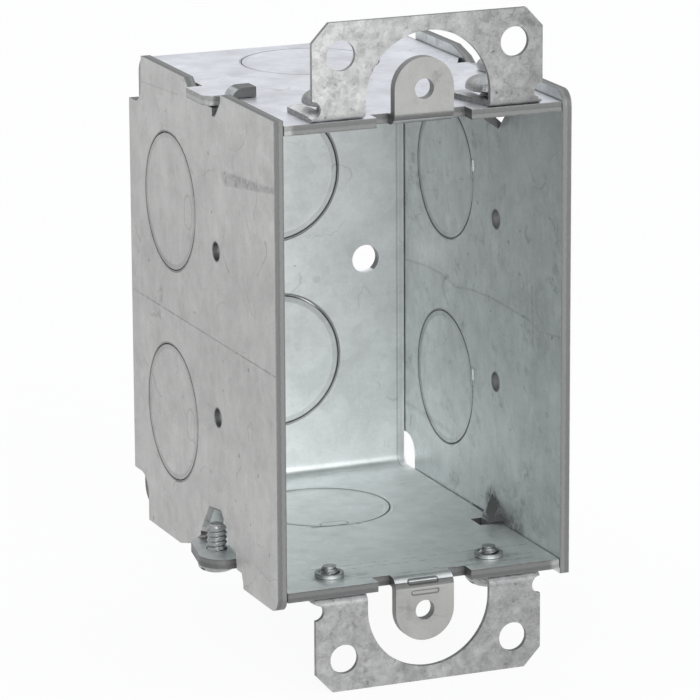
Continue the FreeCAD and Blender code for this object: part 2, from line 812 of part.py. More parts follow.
def make_clamp_screws():
    seat = half_height + seat_gap
    pieces = []
    for hand, side, flip in (("left", -1, HALF_TURN), ("right", 1, 0.0)):
        label = hand + "_clamp_screw"
        screw = make_screw(label, clamp_shank_radius, clamp_shank_length,
                           clamp_head_radius, clamp_head_height)
        turn = Rotation(Vector(0, 1, 0), flip).multiply(Rotation(Vector(0, 0, 1), 25.0))
        bind_place(screw, both(side, clamp_axis), clamp_axis_depth, both(side, seat), turn)
        pieces.append(screw)
    return pieces


def main():
    half_turn = Rotation(Vector(0, 1, 0), HALF_TURN)
    pieces = [make_box_body()]
    pieces.append(make_side_plate("left_side_plate", Rotation()))
    pieces.append(make_side_plate("right_side_plate", half_turn))
    pieces.append(make_ear("upper_ear", Rotation()))
    pieces.append(make_ear("lower_ear", half_turn))
    pieces += make_clamp_screws()
    pieces += make_ear_screws()
    DOC.recompute()
    for thing in DOC.Objects:
        if "Invalid" in thing.State or "Error" in thing.State:
            raise RuntimeError(thing.Label + " failed")
    os.makedirs("parts", exist_ok=True)
    for piece in pieces:
        shape = piece.Shape
        if shape.isNull() or not shape.isValid() or len(shape.Solids) != 1:
            raise RuntimeError(piece.Label + " is not one valid solid")
        shape.exportStep("parts/" + piece.Label + ".step")
        print(piece.Label, round(shape.Volume, 2))


main()
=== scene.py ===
import math
from collections import namedtuple

import bpy
from mathutils import Matrix, Vector


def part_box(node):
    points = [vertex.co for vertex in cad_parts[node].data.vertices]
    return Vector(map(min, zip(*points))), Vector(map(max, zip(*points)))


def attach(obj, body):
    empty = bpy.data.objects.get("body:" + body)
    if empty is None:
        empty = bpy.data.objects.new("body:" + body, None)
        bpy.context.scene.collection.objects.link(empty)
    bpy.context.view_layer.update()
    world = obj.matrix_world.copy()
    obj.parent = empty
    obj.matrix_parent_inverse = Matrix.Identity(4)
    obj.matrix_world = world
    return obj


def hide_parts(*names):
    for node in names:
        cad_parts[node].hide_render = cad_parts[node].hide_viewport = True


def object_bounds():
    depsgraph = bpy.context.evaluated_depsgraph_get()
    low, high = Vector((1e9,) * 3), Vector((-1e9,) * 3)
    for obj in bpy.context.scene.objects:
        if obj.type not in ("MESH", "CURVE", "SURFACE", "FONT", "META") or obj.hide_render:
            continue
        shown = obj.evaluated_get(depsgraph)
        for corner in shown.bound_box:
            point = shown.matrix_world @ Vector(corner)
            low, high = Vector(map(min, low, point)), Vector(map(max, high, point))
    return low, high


bl_info = {
    "name": "Steel Electrical Box",
    "version": (1, 0, 0),
    "blender": (4, 5, 0),
    "location": "3D View > Sidebar > Electrical Box",
    "description": "Finishes a galvanised steel box with its side plates, ears and slotted screws",
    "category": "Object",
}

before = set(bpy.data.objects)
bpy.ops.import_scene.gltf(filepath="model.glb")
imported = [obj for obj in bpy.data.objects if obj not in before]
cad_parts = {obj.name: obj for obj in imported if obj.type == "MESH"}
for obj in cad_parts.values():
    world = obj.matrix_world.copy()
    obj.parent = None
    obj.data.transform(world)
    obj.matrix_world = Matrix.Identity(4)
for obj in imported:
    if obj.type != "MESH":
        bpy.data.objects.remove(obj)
CAD_BOX = [list(corner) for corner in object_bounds()]

# sizes of the box, in metres
MM = 0.001
SHEET = 1.59 * MM
PLATE_FACE = 24.9 * MM
HALF_HEIGHT = 37.76 * MM
DEPTH = 63.5 * MM
KNOCKOUT_RADIUS = 11.25 * MM
LUG_DEPTH = 2.6 * MM
LUG_HALF_WIDTH = 5.0 * MM
TONGUE_START = 22.4 * MM
EAR_SCREW_ASIDE = 13.7 * MM
EAR_SCREW_IN = 6.2 * MM

# places of slugs and holes in their sheets, in millimetres
PLATE_MIDDLE = -0.375
PLATE_SLUG_IN = 45.0
PLATE_SLUG_RISE = 17.5
BACK_SLUG_RISE = 15.9
TOP_SLUG_IN = 46.2
BOTTOM_SLUG_IN = 42.3
NAIL_IN = 24.8
NAIL_RISE = 13.5
NAIL_RADIUS = 1.55

# finish
CUT_ROUGHNESS = 0.5
GROOVE_DEPTH = -0.25
MIDDLE_GREY = (0.5, 0.5, 0.5)

# screws
SCREW_SIDES = 48
SHANK_ROWS = 96
HEAD_ROWS = 24
SLOT_SHARE = 0.5
SHARP_ANGLE = math.radians(38)

# stage: the camera's angles in radians and its offsets in millimetres, the rest in metres
CAMERA_AROUND = -0.395426
CAMERA_TILT = 0.2510955
CAMERA_ROLL = -0.0053394
CAMERA_ASIDE = -11.5902
CAMERA_RISE = 0.4248
CAMERA_AWAY = 748.317
LIGHT_TARGET = (0.0, 0.03, 0.0)
FLOOR_HALF = 40.0
WHITE_SHARE = 0.92

EAR_SCREWS = (
    "upper_ear_screw_left",
    "upper_ear_screw_right",
    "lower_ear_screw_left",
    "lower_ear_screw_right",
)
CLAMP_SCREWS = ("left_clamp_screw", "right_clamp_screw")
HEAD_DOWN = ("lower_ear_screw_left", "lower_ear_screw_right", "left_clamp_screw")

# a mark on a sheet: two points, half width, softness, strength, and how far it narrows towards its end
Mark = namedtuple("Mark", "start end half_width soft strength taper", defaults=(0.0,))

# a kind of screw, in metres, with the share of the head's height below its dome
ScrewCut = namedtuple("ScrewCut", "shank head head_height point rim_share")


# nodes


class Board:
    """Adds nodes to one node tree and joins them."""

    def __init__(self, tree):
        self.tree = tree

    def feed(self, socket, value):
        if isinstance(value, bpy.types.NodeSocket):
            self.tree.links.new(value, socket)
        else:
            socket.default_value = value

    def add(self, kind, inputs=None, **settings):
        node = self.tree.nodes.new(kind)
        for key, value in settings.items():
            setattr(node, key, value)
        for key, value in (inputs or {}).items():
            self.feed(node.inputs[key], value)
        return node

    def math(self, operation, first, second=0.0, third=0.0, clamp=False):
        node = self.add("ShaderNodeMath", operation=operation, use_clamp=clamp)
        for index, value in enumerate((first, second, third)):
            self.feed(node.inputs[index], value)
        return node.outputs[0]

    def sum(self, *values):
        total = values[0]
        for value in values[1:]:
            total = self.math("ADD", total, value)
        return total

    def times(self, *values):
        total = values[0]
        for value in values[1:]:
            total = self.math("MULTIPLY", total, value)
        return total

    def most(self, *values):
        total = values[0]
        for value in values[1:]:
            total = self.math("MAXIMUM", total, value)
        return total

    def minus(self, first, second, clamp=False):
        return self.math("SUBTRACT", first, second, clamp=clamp)

    def over(self, first, second, clamp=False):
        return self.math("DIVIDE", first, second, clamp=clamp)

    def rest_of(self, mask):
        return self.minus(1.0, mask)

    def centred(self, value):
        """Moves 0..1 to -0.5..0.5."""
        return self.minus(value, 0.5)

    def below(self, value, limit):
        return self.math("LESS_THAN", value, limit)

    def above(self, value, limit):
        return self.math("GREATER_THAN", value, limit)

    def size_of(self, value):
        return self.math("ABSOLUTE", value)

    def vector(self, operation, first, second=(0.0, 0.0, 0.0)):
        node = self.add("ShaderNodeVectorMath", operation=operation)
        self.feed(node.inputs[0], first)
        self.feed(node.inputs[1], second)
        if operation in ("LENGTH", "DOT_PRODUCT", "DISTANCE"):
            return node.outputs["Value"]
        return node.outputs["Vector"]

    def scaled(self, vector, factor):
        node = self.add("ShaderNodeVectorMath", operation="SCALE")
        self.feed(node.inputs[0], vector)
        self.feed(node.inputs["Scale"], factor)
        return node.outputs["Vector"]

    def split(self, vector):
        node = self.add("ShaderNodeSeparateXYZ", {"Vector": vector})
        return node.outputs[0], node.outputs[1], node.outputs[2]

    def joined(self, x=0.0, y=0.0, z=0.0):
        return self.add("ShaderNodeCombineXYZ", {"X": x, "Y": y, "Z": z}).outputs[0]

    def between(self, value, low, high, to_low=0.0, to_high=1.0, soft=True):
        """Maps low..high to to_low..to_high and holds the ends."""
        node = self.add("ShaderNodeMapRange", interpolation_type="SMOOTHSTEP" if soft else "LINEAR")
        for key, number in (("Value", value), ("From Min", low), ("From Max", high)):
            self.feed(node.inputs[key], number)
        self.feed(node.inputs["To Min"], to_low)
        self.feed(node.inputs["To Max"], to_high)
        return node.outputs[0]

    def colour(self, values):
        node = self.add("ShaderNodeRGB")
        node.outputs[0].default_value = colour_of(values)
        return node.outputs[0]

    def mixed(self, factor, first, second):
        node = self.add("ShaderNodeMix", data_type="RGBA")
        self.feed(node.inputs[0], factor)
        self.feed(node.inputs[6], first)
        self.feed(node.inputs[7], second)
        return node.outputs[2]

    def blended(self, factor, first, second):
        node = self.add("ShaderNodeMix", data_type="FLOAT")
        self.feed(node.inputs[0], factor)
        self.feed(node.inputs[2], first)
        self.feed(node.inputs[3], second)
        return node.outputs[0]

    def noise(self, place, size, detail=2.0, roughness=0.5):
        node = self.add("ShaderNodeTexNoise", {"Vector": place, "Detail": detail, "Roughness": roughness})
        scale = self.over(1.0, size) if isinstance(size, bpy.types.NodeSocket) else 1.0 / size
        self.feed(node.inputs["Scale"], scale)
        return node.outputs[0]

    def drifted(self, place, scale, amount, detail=2.0, roughness=0.5):
        """The place moved a little by coloured noise, so that a pattern on it wanders."""
        inputs = {"Vector": place, "Scale": scale, "Detail": detail, "Roughness": roughness}
        noise = self.add("ShaderNodeTexNoise", inputs)
        shift = self.vector("SUBTRACT", noise.outputs["Color"], MIDDLE_GREY)
        return self.vector("ADD", place, self.scaled(shift, amount))

    def group(self, tree, **inputs):
        node = self.add("ShaderNodeGroup", node_tree=tree)
        for key, value in inputs.items():
            self.feed(node.inputs[key.replace("_", " ").title()], value)
        return node


def colour_of(values):
    return (values[0], values[1], values[2], 1.0)


def new_group(name, inputs, outputs, kind="ShaderNodeTree"):
    """A node group with named sockets, and the board that fills it."""
    tree = bpy.data.node_groups.new(name, kind)
    for label, socket, default in inputs:
        item = tree.interface.new_socket(label, in_out="INPUT", socket_type="NodeSocket" + socket)
        if default is not None:
            item.default_value = default
    for label, socket in outputs:
        tree.interface.new_socket(label, in_out="OUTPUT", socket_type="NodeSocket" + socket)
    board = Board(tree)
    return tree, board, board.add("NodeGroupInput").outputs, board.add("NodeGroupOutput").inputs


# shared effects


def zinc_group():
    """Zinc coat: crystals with frosted outlines, cloudy patches and fine grain."""
    inputs = [
        ("Place", "Vector", None),
        ("Crystal", "Float", 3 * MM),
        ("Cloud", "Float", 9 * MM),
        ("Grain", "Float", 0.5 * MM),
    ]
    outputs = [("Mottle", "Float"), ("Grain", "Float"), ("Height", "Float")]
    tree, board, given, result = new_group("Zinc coat", inputs, outputs)
    place, size = given["Place"], given["Crystal"]
    frost = board.drifted(place, board.over(0.8, size), board.times(size, 2.2), 3.0, 0.7)
    cells = board.add("ShaderNodeTexVoronoi", {"Vector": frost, "Scale": board.over(1.0, size)}, feature="F1")
    crystal = board.split(cells.outputs["Color"])[0]
    clouds = board.noise(place, given["Cloud"], 3.0, 0.6)
    fine = board.noise(place, given["Grain"], 3.0, 0.7)
    board.feed(result["Mottle"], board.sum(board.times(crystal, 0.2), board.times(clouds, 1.1), -0.15))
    board.feed(result["Grain"], fine)
    board.feed(result["Height"], board.sum(board.times(crystal, 0.2), board.times(fine, 0.6)))
    return tree


def mark_group():
    """A straight mark on a surface, such as a scratch, a scribed line or a smear; it also paints shade and
    highlights.
    """
    inputs = [
        ("Place", "Vector", None),
        ("Start", "Vector", None),
        ("End", "Vector", None),
        ("Half Width", "Float", 0.1 * MM),
        ("Soft", "Float", 0.1 * MM),
        ("Taper", "Float", 0.0),
    ]
    tree, board, given, result = new_group("Straight mark", inputs, [("Mask", "Float")])
    run = board.vector("SUBTRACT", given["End"], given["Start"])
    reach = board.vector("SUBTRACT", given["Place"], given["Start"])
    along = board.vector("DOT_PRODUCT", reach, run)
    along = board.over(along, board.vector("DOT_PRODUCT", run, run), clamp=True)
    away = board.vector("LENGTH", board.vector("SUBTRACT", reach, board.scaled(run, along)))
    half_width = board.times(given["Half Width"], board.rest_of(board.times(along, given["Taper"])))
    outline = board.sum(half_width, given["Soft"])
    board.feed(result["Mask"], board.between(away, half_width, outline, 1.0, 0.0))
    return tree


def slug_group():
    """A round slug half sheared from the sheet: a groove, a band inside it darkened as painted shade on its
    slope, and a shallow step.
    """
    inputs = [
        ("Place", "Vector", None),
        ("Centre", "Vector", None),
        ("Radius", "Float", KNOCKOUT_RADIUS),
        ("Band", "Float", 1.1 * MM),
    ]
    outputs = [("Line", "Float"), ("Band", "Float"), ("Step", "Float")]
    tree, board, given, result = new_group("Sheared slug", inputs, outputs)
    off = board.minus(board.vector("DISTANCE", given["Place"], given["Centre"]), given["Radius"])
    inward = board.times(given["Band"], -1.0)
    start = board.between(off, inward, board.times(inward, 0.8))
    board.feed(result["Line"], board.between(board.size_of(off), 0.06 * MM, 0.32 * MM, 1.0, 0.0))
    board.feed(result["Band"], board.times(start, board.below(off, 0.0)))
    board.feed(result["Step"], board.between(off, inward, 0.0, soft=False))
    return tree


def shear_group():
    """A sheared sheet edge: rolled corner, bright burnished band, rough dark break and a burr."""
    inputs = [("Place", "Vector", None), ("Through", "Float", 0.5)]
    outputs = [("Tone", "Float"), ("Height", "Float")]
    tree, board, given, result = new_group("Sheared edge", inputs, outputs)
    ragged = board.centred(board.noise(given["Place"], 0.9 * MM, 3.0, 0.7))
    through = board.sum(given["Through"], board.times(ragged, 0.35))
    corner = board.between(through, 0.02, 0.16, 0.72, 1.0)
    smooth = board.between(through, 0.42, 0.56, 1.0, 0.78)
    burr = board.between(through, 0.86, 1.0, 0.0, 0.3)
    grain = board.noise(given["Place"], 0.25 * MM, 2.0, 0.7)
    grainy = board.sum(0.86, board.times(grain, 0.28))
    board.feed(result["Tone"], board.times(corner, board.sum(smooth, burr), grainy))
    board.feed(result["Height"], board.times(board.between(through, 0.42, 0.6), grain))
    return tree


def wear_group():
    """Sparse dark specks, hair scratches and cloudy stains from handling."""
    inputs = [("Place", "Vector", None), ("Spacing", "Float", 4 * MM), ("Speck", "Float", 0.35 * MM)]
    outputs = [("Specks", "Float"), ("Hairs", "Float"), ("Stains", "Float")]
    tree, board, given, result = new_group("Wear", inputs, outputs)
    moved = board.drifted(given["Place"], 1.0 / (1.2 * MM), 1.1 * MM)
    scale = board.over(1.0, given["Spacing"])
    cells = board.add("ShaderNodeTexVoronoi", {"Vector": moved, "Scale": scale}, feature="F1")
    chance, size, _ = board.split(cells.outputs["Color"])
    away = board.times(cells.outputs["Distance"], given["Spacing"])
    reach = board.times(given["Speck"], board.sum(0.4, size))
    speck = board.between(away, board.times(reach, 0.4), reach, 1.0, 0.0)
    board.feed(result["Specks"], board.times(speck, board.above(chance, 0.55)))
    ridge = board.size_of(board.centred(board.noise(moved, 13 * MM, 1.0)))
    some = board.between(board.noise(given["Place"], 6 * MM, 1.0), 0.54, 0.62)
    board.feed(result["Hairs"], board.times(board.between(ridge, 0.001, 0.007, 1.0, 0.0), some))
    stains = board.noise(given["Place"], 5 * MM, 5.0, 0.72)
    board.feed(result["Stains"], board.between(stains, 0.55, 0.75))
    return tree


GROUPS = {}
MAKERS = {
    "zinc": zinc_group,
    "mark": mark_group,
    "slug": slug_group,
    "shear": shear_group,
    "wear": wear_group,
}


def shared(name):
    """One of the shared effects, built the first time that it is used."""
    if name not in GROUPS:
        GROUPS[name] = MAKERS[name]()
    return GROUPS[name]


# settings


def tint(name, default, text):
    return bpy.props.FloatVectorProperty(
        name=name, description=text, default=default, size=3, subtype="COLOR", min=0.0, max=1.0
    )


def length(name, default, text):
    return bpy.props.FloatProperty(
        name=name, description=text, default=default * MM, unit="LENGTH", min=0.0, precision=5
    )


def number(name, default, text, unit="NONE"):
    return bpy.props.FloatProperty(name=name, description=text, default=default, unit=unit, min=0.0)


class SteelFinish(bpy.types.PropertyGroup):
    outside: tint("Outside", (0.445, 0.447, 0.44), "Colour of the galvanised steel outside the box")
    inside: tint("Inside", (0.655, 0.681, 0.679), "Colour of the galvanised steel inside the box")
    # painted light: a brighter, bluer copy of the outside steel, given to the body's outside to stand in for
    # the overhead light on the top panel
    top: tint("Top", (0.8, 0.805, 0.85), "Colour of the top and bottom panels outside")
    lug: tint("Lugs", (0.39, 0.39, 0.38), "Colour of the device lugs")
    ear: tint("Ears", (0.395, 0.398, 0.395), "Colour of the plaster ears")
    edge: tint("Cut Edge", (0.25, 0.253, 0.25), "Colour of the sheared sheet edges")
    screw: tint("Screws", (0.36, 0.367, 0.367), "Colour of the plated screws")
    crystal: number("Crystal", 1.0, "Size of the zinc crystals, 1 as made")
    grain: length("Grain", 0.45, "Size of the fine grain")


class ScrewSizes(bpy.types.PropertyGroup):
    ear_shank: length("Ear Screw Shank", 1.65, "Radius over the threads of an ear screw")
    ear_head: length("Ear Screw Head", 3.8, "Radius of an ear screw's head")
    ear_head_height: length("Ear Screw Head Height", 2.3, "Height of an ear screw's head")
    ear_point: length("Ear Screw Point", 1.2, "Length of an ear screw's tapered point")
    clamp_shank: length("Clamp Screw Shank", 1.65, "Radius over the threads of a clamp screw")
    clamp_head: length("Clamp Screw Head", 3.0, "Radius of a clamp screw's head")
    clamp_head_height: length("Clamp Screw Head Height", 2.05, "Height of a clamp screw's head")
    clamp_point: length("Clamp Screw Point", 0.5, "Length of a clamp screw's tapered point")
    pitch: length("Pitch", 0.8, "Distance from one thread to the next")
    thread_depth: length("Thread Depth", 0.28, "Depth of the thread")
    slot_width: length("Slot Width", 0.9, "Width of the driver slot")


class StudioLight(bpy.types.PropertyGroup):
    sky: number("Room Light", 0.82, "Strength of the room's light overhead")
    horizon: number("Horizon Light", 0.61, "Strength of the room's light at eye level")
    front: number("Front Light", 14.5, "Power of the softbox in front", "POWER")
    front_size: number("Front Softbox", 1.4, "Side of the softbox in front", "LENGTH")
    overhead: number("Overhead Light", 5.0, "Power of the softbox above", "POWER")
    overhead_size: number("Overhead Softbox", 2.0, "Side of the softbox above", "LENGTH")
    lens: number("Lens", 248.42, "Focal length of the camera in millimetres")


# materials


def steel_board(name):
    """An empty material with its surface coordinates."""
    material = bpy.data.materials.new(name)
    material.use_nodes = True
    material.node_tree.nodes.clear()
    board = Board(material.node_tree)
    coordinates = board.add("ShaderNodeTexCoord")
    return material, board, coordinates.outputs["Object"], coordinates.outputs["Normal"]


def finish(board, colour, roughness, height):
    """The metal shader at the end of each material."""
    bump = board.add("ShaderNodeBump", {"Height": height, "Distance": 1.0 * MM, "Strength": 1.0})
    inputs = {"Base Color": colour, "Roughness": roughness, "Metallic": 1.0, "Normal": bump.outputs[0]}
    shader = board.add("ShaderNodeBsdfPrincipled", inputs)
    output = board.add("ShaderNodeOutputMaterial")
    board.tree.links.new(shader.outputs[0], output.inputs["Surface"])


def coated(board, place, colour, contrast, crystal, cloud):
    """Zinc over a base colour, with the coat's own masks; crystal and cloud are in millimetres."""
    settings = bpy.context.scene.steel_finish
    zinc = board.group(
        shared("zinc"),
        place=place,
        crystal=crystal * MM * settings.crystal,
        cloud=cloud * MM,
        grain=settings.grain,
    )
    mottle = board.times(board.centred(zinc.outputs["Mottle"]), contrast)
    grain = board.times(board.centred(zinc.outputs["Grain"]), contrast * 0.45)
    return board.scaled(colour, board.sum(1.0, mottle, grain)), zinc


def marks(board, plane, lines):
    """The strongest of some marks in one plane."""
    total = 0.0
    for line in lines:
        mark = board.group(
            shared("mark"),
            place=plane,
            start=(line.start[0] * MM, line.start[1] * MM, 0.0),
            end=(line.end[0] * MM, line.end[1] * MM, 0.0),
            half_width=line.half_width * MM,
            soft=line.soft * MM,
            taper=line.taper,
        )
        total = board.most(total, board.times(mark.outputs["Mask"], line.strength))
    return total


def ties(board, plane, spots):
    """Oval outlines of the ties that hold a slug: start, end and radius, in millimetres."""
    whole = marks(board, plane, [Mark(start, end, radius, 0.25, 1.0) for start, end, radius in spots])
    within = marks(board, plane, [Mark(start, end, radius - 0.3, 0.25, 1.0) for start, end, radius in spots])
    return board.minus(whole, within)


def slugs(board, plane, centres, band=1.1):
    """Line, band and step of the round slugs in one plane, with centres and band in millimetres."""
    line, band_shade, step = 0.0, 0.0, 0.0
    for across, up in centres:
        centre = (across * MM, up * MM, 0.0)
        slug = board.group(shared("slug"), place=plane, centre=centre, band=band * MM)
        line = board.sum(line, slug.outputs["Line"])
        band_shade = board.sum(band_shade, slug.outputs["Band"])
        step = board.sum(step, slug.outputs["Step"])
    return line, band_shade, step


def handling(board, wear, specks, hairs, stains):
    """How much the wear masks darken the steel."""
    return board.sum(
        board.times(wear.outputs["Specks"], specks),
        board.times(wear.outputs["Hairs"], hairs),
        board.times(wear.outputs["Stains"], stains),
    )


def relief(board, zinc, shear, cut, *parts):
    """Height of the coat's grain and of the cut edges over the given parts."""
    grain = board.times(zinc.outputs["Height"], 0.03)
    return board.sum(*parts, grain, board.times(shear.outputs["Height"], cut, 0.05))


def plate_material(name, hand, outer_marks, inner_marks, tie_spots, glints):
    """Steel of a side plate; hand is -1 on the left and 1 on the right."""
    settings = bpy.context.scene.steel_finish
    material, board, place, normal = steel_board(name)
    x, y, z = board.split(place)
    plane = board.joined(y, z)
    middle = -hand * PLATE_MIDDLE
    outward = board.times(x, float(hand))
    out = board.above(outward, PLATE_FACE - SHEET / 2)
    facing = board.size_of(board.split(normal)[0])
    cut = board.between(facing, 0.35, 0.55, 1.0, 0.0)

    # scribed lines, scratches, smears, painted shade round the hook's dent, painted glints inside, ties, and
    # nail holes darkened partly by their sheared walls and partly as painted shade
    marks_shade_and_glint = board.blended(out, marks(board, plane, inner_marks), marks(board, plane, outer_marks))
    broken = board.between(board.noise(place, 0.9 * MM, 4.0, 0.8), 0.38, 0.62, 0.25, 1.15)
    glint = board.times(marks(board, plane, glints), board.blended(out, -0.7, 0.0))
    marks_shade_and_glint = board.sum(board.times(marks_shade_and_glint, broken), board.times(ties(board, plane, tie_spots), 0.16), glint)
    # nail holes darkened: partly their sheared walls, partly painted shade inside the holes
    nails = [(NAIL_IN, middle + side) for side in (NAIL_RISE, -NAIL_RISE)]
    bore_wall_and_shade = marks(board, plane, [Mark(nail, nail, NAIL_RADIUS, 0.3, 0.6) for nail in nails])

    # slugs, with painted shade on their sloped bands, and wear
    centres = [(PLATE_SLUG_IN, middle + side) for side in (PLATE_SLUG_RISE, -PLATE_SLUG_RISE)]
    line, band_shade, step = slugs(board, plane, centres)
    wear = board.group(shared("wear"), place=place)
    worn = handling(board, wear, 0.4, 0.24, board.blended(out, 0.36, 0.14))
    rolled = board.vector("MULTIPLY", place, (1.0, 1.0, 0.12))
    streaks = board.times(board.centred(board.noise(rolled, 0.9 * MM, 3.0, 0.6)), 0.14)
    darker = board.sum(marks_shade_and_glint, worn, bore_wall_and_shade, board.times(line, 0.4), board.times(band_shade, 0.15))
    level = board.minus(board.sum(1.0, streaks), darker)

    # painted light inside, brighter low down and towards the rear; outside, brighter towards the top and a
    # little darker around mid height
    outside_by_height = board.between(z, 8 * MM, 30 * MM, 0.97, 1.08)
    outside_by_height = board.sum(outside_by_height, board.between(z, -24 * MM, -6 * MM, 0.03, 0.0))
    painted_low_light = board.between(z, -34 * MM, -4 * MM, 1.1, 1.0)
    painted_low_light = board.times(painted_low_light, board.between(y, 30 * MM, 56 * MM, 1.0, 1.05))
    level = board.most(board.times(level, board.blended(out, painted_low_light, outside_by_height)), 0.05)
    # painted shade: sloped faces, such as the walls of the pressed pockets, are darkened
    slope_shade = board.between(facing, 0.9, 0.99, 0.8, 1.0)

    base = board.mixed(out, colour_of(settings.inside), colour_of(settings.outside))
    base, zinc = coated(board, place, base, 0.55, 2.0, 7.0)
    base = board.scaled(board.scaled(base, level), slope_shade)
    through = board.over(board.minus(outward, PLATE_FACE - SHEET), SHEET)
    shear = board.group(shared("shear"), place=place, through=through)
    edge = board.scaled(board.colour(settings.edge), shear.outputs["Tone"])

    uneven = board.times(board.centred(zinc.outputs["Mottle"]), 0.12)
    rough = board.sum(board.blended(out, 0.46, 0.4), uneven, board.times(marks_shade_and_glint, 0.3))
    height = relief(board, zinc, shear, cut, board.times(step, 0.18), board.times(line, GROOVE_DEPTH))
    finish(board, board.mixed(cut, base, edge), board.blended(cut, rough, CUT_ROUGHNESS), height)
    return material


def body_cut(board, normal, y, height_up, boss):
    """Where the body shows a sheared edge: its sides, its front, its slots and the rims of the lugs."""
    nx, ny, nz = [board.size_of(part) for part in board.split(normal)]
    side = board.times(board.above(nx, 0.6), board.rest_of(boss))
    level_edge = board.times(
        board.below(nz, 0.6),
        board.below(y, DEPTH - 4 * MM),
        board.below(height_up, HALF_HEIGHT + 0.1 * MM),
        board.above(height_up, HALF_HEIGHT - SHEET - 0.1 * MM),
    )
    raised_edge = board.times(board.below(ny, 0.6), board.above(height_up, HALF_HEIGHT + 1.6 * MM))
    return board.most(side, level_edge, raised_edge)


def body_material(name, back_corner_shade, floor_marks, floor_ties, lug_ribs):
    """Steel of the folded body."""
    settings = bpy.context.scene.steel_finish
    material, board, place, normal = steel_board(name)
    x, y, z = board.split(place)
    away, height_up = board.size_of(x), board.size_of(z)
    back_plane, flat_plane = board.joined(x, z), board.joined(x, y)

    # zones
    within = board.times(board.below(height_up, HALF_HEIGHT - SHEET / 2), board.below(y, DEPTH - SHEET / 2))
    without = board.rest_of(within)
    rear = board.above(y, DEPTH - 3 * SHEET)
    upper = board.above(z, 0.0)
    lug = board.times(
        board.between(height_up, HALF_HEIGHT - 1.2 * MM, HALF_HEIGHT + 0.2 * MM),
        board.below(y, LUG_DEPTH),
        board.below(away, LUG_HALF_WIDTH),
    )
    diagonal = board.times(x, z)
    tongue = board.times(
        board.between(away, TONGUE_START, TONGUE_START + 0.8 * MM), without, board.above(diagonal, 0.0)
    )
    beside, ahead = board.minus(away, EAR_SCREW_ASIDE), board.minus(y, EAR_SCREW_IN)
    from_axis = board.math("SQRT", board.sum(board.times(beside, beside), board.times(ahead, ahead)))
    boss = board.times(board.between(from_axis, 3.0 * MM, 4.2 * MM, 1.0, 0.0), within)
    cut = body_cut(board, normal, y, height_up, boss)

    # slugs, with painted shade on their sloped bands; the front of the top one is worn nearly flat
    back = slugs(board, back_plane, ((0.0, BACK_SLUG_RISE), (0.0, -BACK_SLUG_RISE)), 1.3)
    top = slugs(board, flat_plane, ((0.0, TOP_SLUG_IN),))
    bottom = slugs(board, flat_plane, ((0.0, BOTTOM_SLUG_IN),))
    line, band_shade, step = [
        board.blended(rear, board.blended(upper, low, high), behind)
        for low, high, behind in zip(bottom, top, back)
    ]
    kept = board.between(y, 42 * MM, 52 * MM, 0.15, 0.9)
    kept = board.blended(board.times(upper, without), 1.0, kept)

    # wear, scuffs, painted shade down the back corners, and ties
    wear = board.group(shared("wear"), place=place)
    worn = handling(board, wear, 0.28, 0.15, board.sum(0.08, board.times(lug, 0.2)))
    rolled = board.vector("MULTIPLY", place, (0.15, 1.0, 1.0))
    streaks = board.centred(board.noise(rolled, 0.9 * MM, 3.0, 0.6))
    streaks = board.times(streaks, board.blended(within, 0.03, 0.08))
    floor = board.times(within, board.rest_of(upper))
    broken = board.between(board.noise(place, 1.6 * MM, 4.0, 0.8), 0.42, 0.58)
    scuffs = board.times(marks(board, flat_plane, floor_marks), floor, board.rest_of(rear), broken)
    corner_shade = board.times(marks(board, back_plane, back_corner_shade), rear, within)
    ovals = board.times(ties(board, flat_plane, floor_ties), floor, 0.4)
    grooves = board.times(line, kept, 0.3)
    slug_band_shade = board.times(band_shade, kept, board.blended(rear, 0.1, 0.24))
    level = board.minus(board.sum(1.0, streaks), board.sum(worn, scuffs, corner_shade, ovals, grooves, slug_band_shade))
    # the collars round the ear screws are darkened: partly their own scuffed finish, partly painted shade
    boss_height = board.between(height_up, HALF_HEIGHT - 2.2 * MM, HALF_HEIGHT - SHEET, 0.5, 0.15)
    level = board.times(level, board.rest_of(board.times(boss, boss_height)))

    # painted light: the floor and the foot of the walls inside are brighter, most of all at the rear
    painted_low_light = board.between(z, -HALF_HEIGHT + SHEET, -HALF_HEIGHT + 4 * MM, 1.25, 1.0)
    rear_floor = board.minus(y, board.times(z, 0.5))
    painted_low_light = board.times(painted_low_light, board.between(rear_floor, 68 * MM, 82 * MM, 1.0, 1.14))
    level = board.times(board.most(level, 0.05), board.blended(within, 1.0, painted_low_light))

    # painted light: the body's outside takes the brighter, bluer Top copy of the steel
    base = board.mixed(within, colour_of(settings.top), colour_of(settings.inside))
    base = board.mixed(board.most(lug, board.times(tongue, 0.8)), base, colour_of(settings.lug))
    base, zinc = coated(board, place, base, 0.4, 2.0, 8.0)
    base = board.scaled(base, level)
    in_back = board.over(board.minus(y, DEPTH - SHEET), SHEET)
    in_flat = board.over(board.minus(height_up, HALF_HEIGHT - SHEET), SHEET)
    shear = board.group(shared("shear"), place=place, through=board.blended(rear, in_flat, in_back))
    # the hook's rolled edges are brightened: partly burnished wear, partly painted highlight
    hook_wear_and_highlight = board.times(
        board.between(away, TONGUE_START - 1.0 * MM, TONGUE_START),
        board.below(diagonal, 0.0),
        board.noise(place, 0.7 * MM, 3.0, 0.8),
        1.6,
    )
    edge_level = board.sum(board.blended(upper, 0.8, 1.0), hook_wear_and_highlight)
    edge = board.scaled(board.colour(settings.edge), board.times(shear.outputs["Tone"], edge_level))

